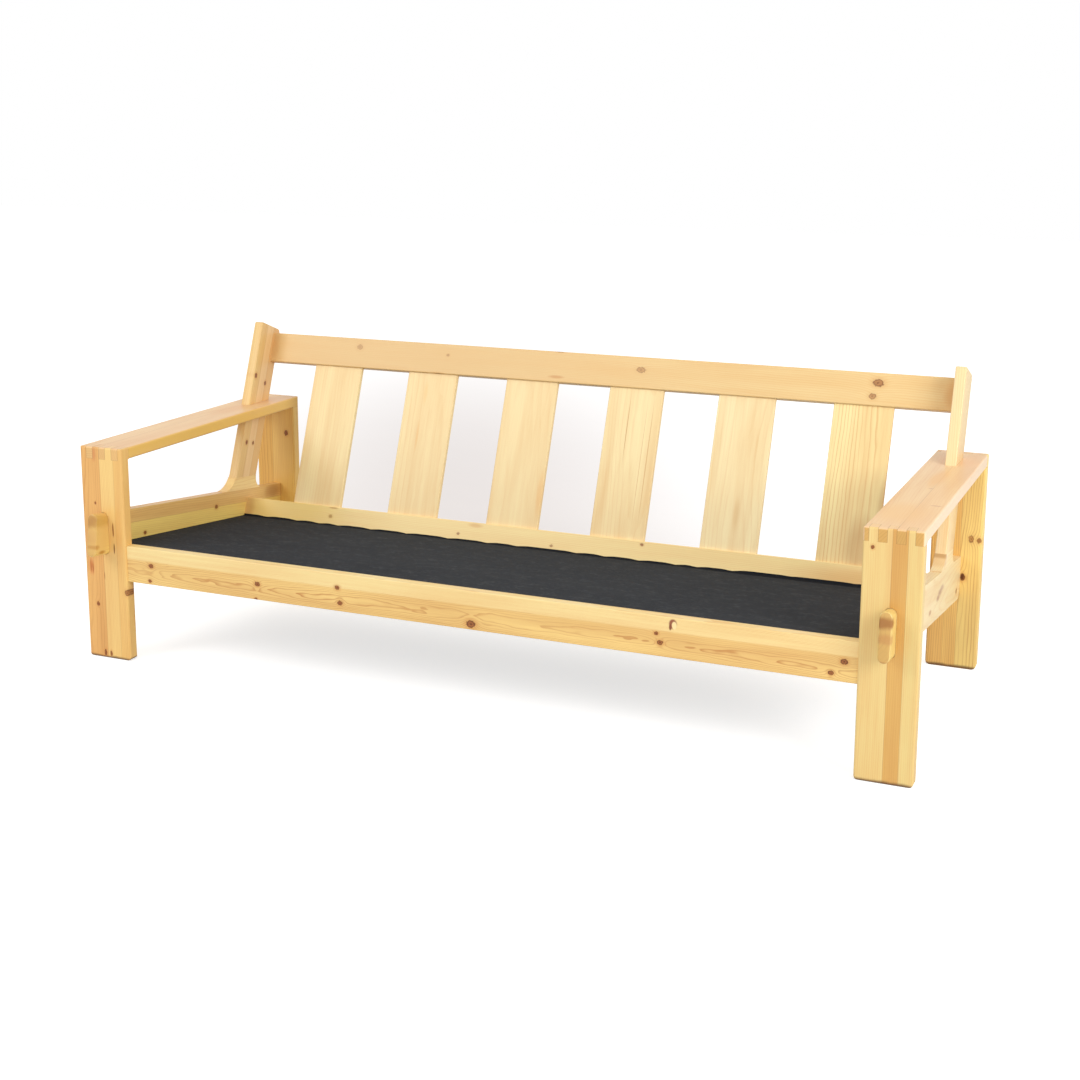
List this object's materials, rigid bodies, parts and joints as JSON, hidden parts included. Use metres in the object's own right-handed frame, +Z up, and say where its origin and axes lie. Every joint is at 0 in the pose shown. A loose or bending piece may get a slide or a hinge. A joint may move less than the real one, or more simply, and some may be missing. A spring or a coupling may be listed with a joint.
{
  "type": "three-seater sofa frame",
  "caption": "Three-seater sofa frame in finger-jointed pine, with leaning slatted back, through-tenoned side rails and a stretched cloth seat deck on zigzag springs.",
  "frame": {"origin": "On the floor, midway between the two arms and midway between the tips of the front tenons and the rear faces of the rear legs.", "axes": "+X runs along the sofa towards the sitter's left arm, which is at the right in a view from the front, -Y is the front, where the tenons stand out, and +Z is up."},
  "size_m": [2.1, 0.8902, 0.776],
  "materials": {
    "leg_pine": "satin clear lacquer over laminated pine",
    "armrest_pine": "satin clear lacquer over pine, warmed by wear",
    "side_pine": "satin clear lacquer over pine",
    "rail_pine": "satin clear lacquer over knotty pine",
    "slat_pine": "satin clear lacquer over pale straight-grained pine",
    "deck_cloth": "matt charcoal cloth",
    "batten_pine": "sawn, unfinished pine",
    "spring_steel": "drawn spring wire",
    "clip_steel": "pressed steel strap",
    "screw_steel": "zinc-plated",
    "dowel_beech": "plain beech"
  },
  "bodies": {
    "root": {"left_front_leg": "leg_pine", "right_front_leg": "leg_pine", "left_rear_leg": "leg_pine", "right_rear_leg": "leg_pine", "left_armrest": "armrest_pine", "right_armrest": "armrest_pine", "left_side_rail": "side_pine", "right_side_rail": "side_pine", "left_knee_block": "side_pine", "right_knee_block": "side_pine", "left_back_post": "side_pine", "right_back_post": "side_pine", "front_rail": "rail_pine", "rear_rail": "rail_pine", "top_rail": "rail_pine", "slat_1": "slat_pine", "slat_2": "slat_pine", "slat_3": "slat_pine", "slat_4": "slat_pine", "slat_5": "slat_pine", "slat_6": "slat_pine", "seat_cloth": "deck_cloth", "front_cleat": "batten_pine", "rear_cleat": "batten_pine", "left_side_cleat": "batten_pine", "right_side_cleat": "batten_pine", "seat_springs": "spring_steel", "spring_clips": "clip_steel", "cleat_screws": "screw_steel", "post_dowels": "dowel_beech"}
  },
  "joints": []
}
